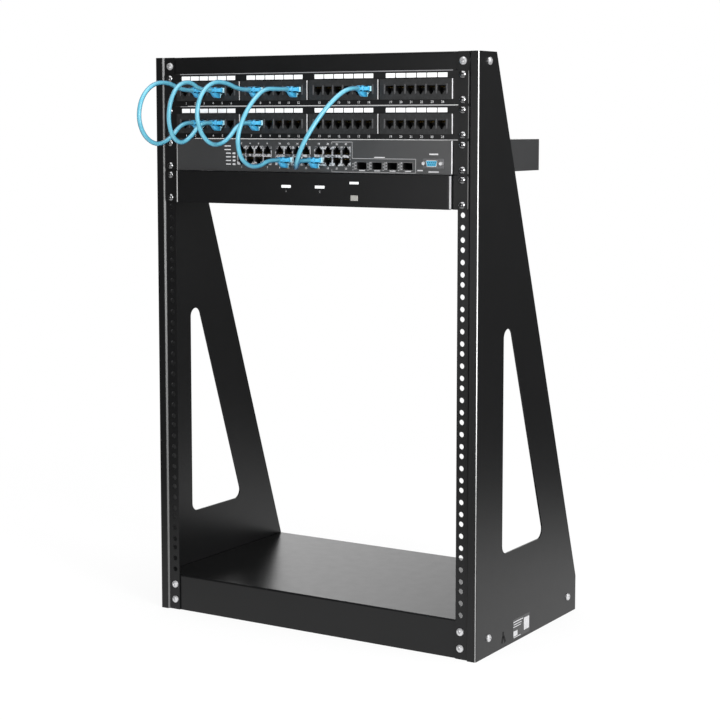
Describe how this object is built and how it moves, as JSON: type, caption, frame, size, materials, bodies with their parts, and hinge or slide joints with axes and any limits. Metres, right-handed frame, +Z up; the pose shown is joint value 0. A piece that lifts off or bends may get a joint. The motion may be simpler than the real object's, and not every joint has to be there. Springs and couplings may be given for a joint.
{
  "type": "two post open frame rack with network gear",
  "caption": "Open frame 19-inch rack of folded black steel with slanted windowed sides, holding patch panels, a switch, a console switch and blue patch cords.",
  "frame": {"origin": "middle of the footprint, on the floor", "axes": "+Z up, the front with its rails faces -Y, +X to the right seen from the front"},
  "size_m": [0.513, 0.445, 0.7867],
  "materials": {
    "black_powder_coat": "satin black powder coat, fine grain",
    "black_panel_paint": "satin black paint",
    "white_label": "matt white label stock",
    "terminal_plastic": "matt black moulding on a green board",
    "jack_plastic": "matt dark grey moulding",
    "grey_case_paint": "satin grey paint",
    "grey_fascia": "satin grey metallic paint",
    "nickel_plate": "nickel plate",
    "port_shield": "tinned shield round black mouldings",
    "inlet_plastic": "matt black moulding",
    "bezel_plastic": "smooth satin black front",
    "pale_button": "satin pale grey button",
    "blue_jacket": "satin sky blue cable jacket",
    "blue_boot": "satin sky blue moulded boot"
  },
  "bodies": {
    "root": {"left_side_panel": "black_powder_coat", "right_side_panel": "black_powder_coat", "base_tray": "black_powder_coat", "top_bar": "black_powder_coat", "upper_patch_plate": "black_panel_paint", "upper_patch_labels": "white_label", "upper_patch_boards": "terminal_plastic", "lower_patch_plate": "black_panel_paint", "lower_patch_labels": "white_label", "lower_patch_boards": "terminal_plastic", "upper_patch_jacks_1": "jack_plastic", "upper_patch_jacks_2": "jack_plastic", "upper_patch_jacks_3": "jack_plastic", "upper_patch_jacks_4": "jack_plastic", "lower_patch_jacks_1": "jack_plastic", "lower_patch_jacks_2": "jack_plastic", "lower_patch_jacks_3": "jack_plastic", "lower_patch_jacks_4": "jack_plastic", "switch_case": "grey_case_paint", "switch_fascia": "grey_fascia", "switch_cages": "nickel_plate", "switch_console_port": "nickel_plate", "switch_power_inlet": "inlet_plastic", "switch_ports_1": "port_shield", "switch_ports_2": "port_shield", "switch_ports_3": "port_shield", "console_case": "black_panel_paint", "console_bezel": "bezel_plastic", "console_button": "pale_button", "console_rear_ports": "nickel_plate", "switch_left_bracket": "black_panel_paint", "switch_right_bracket": "black_panel_paint", "console_left_bracket": "black_panel_paint", "console_right_bracket": "black_panel_paint", "cord_1": "blue_jacket", "cord_2": "blue_jacket", "cord_3": "blue_jacket", "cord_4": "blue_jacket", "cord_5": "blue_jacket", "cord_1_plugs": "blue_boot", "cord_2_plugs": "blue_boot", "cord_3_plugs": "blue_boot", "cord_4_plugs": "blue_boot", "cord_5_plugs": "blue_boot"}
  },
  "joints": []
}
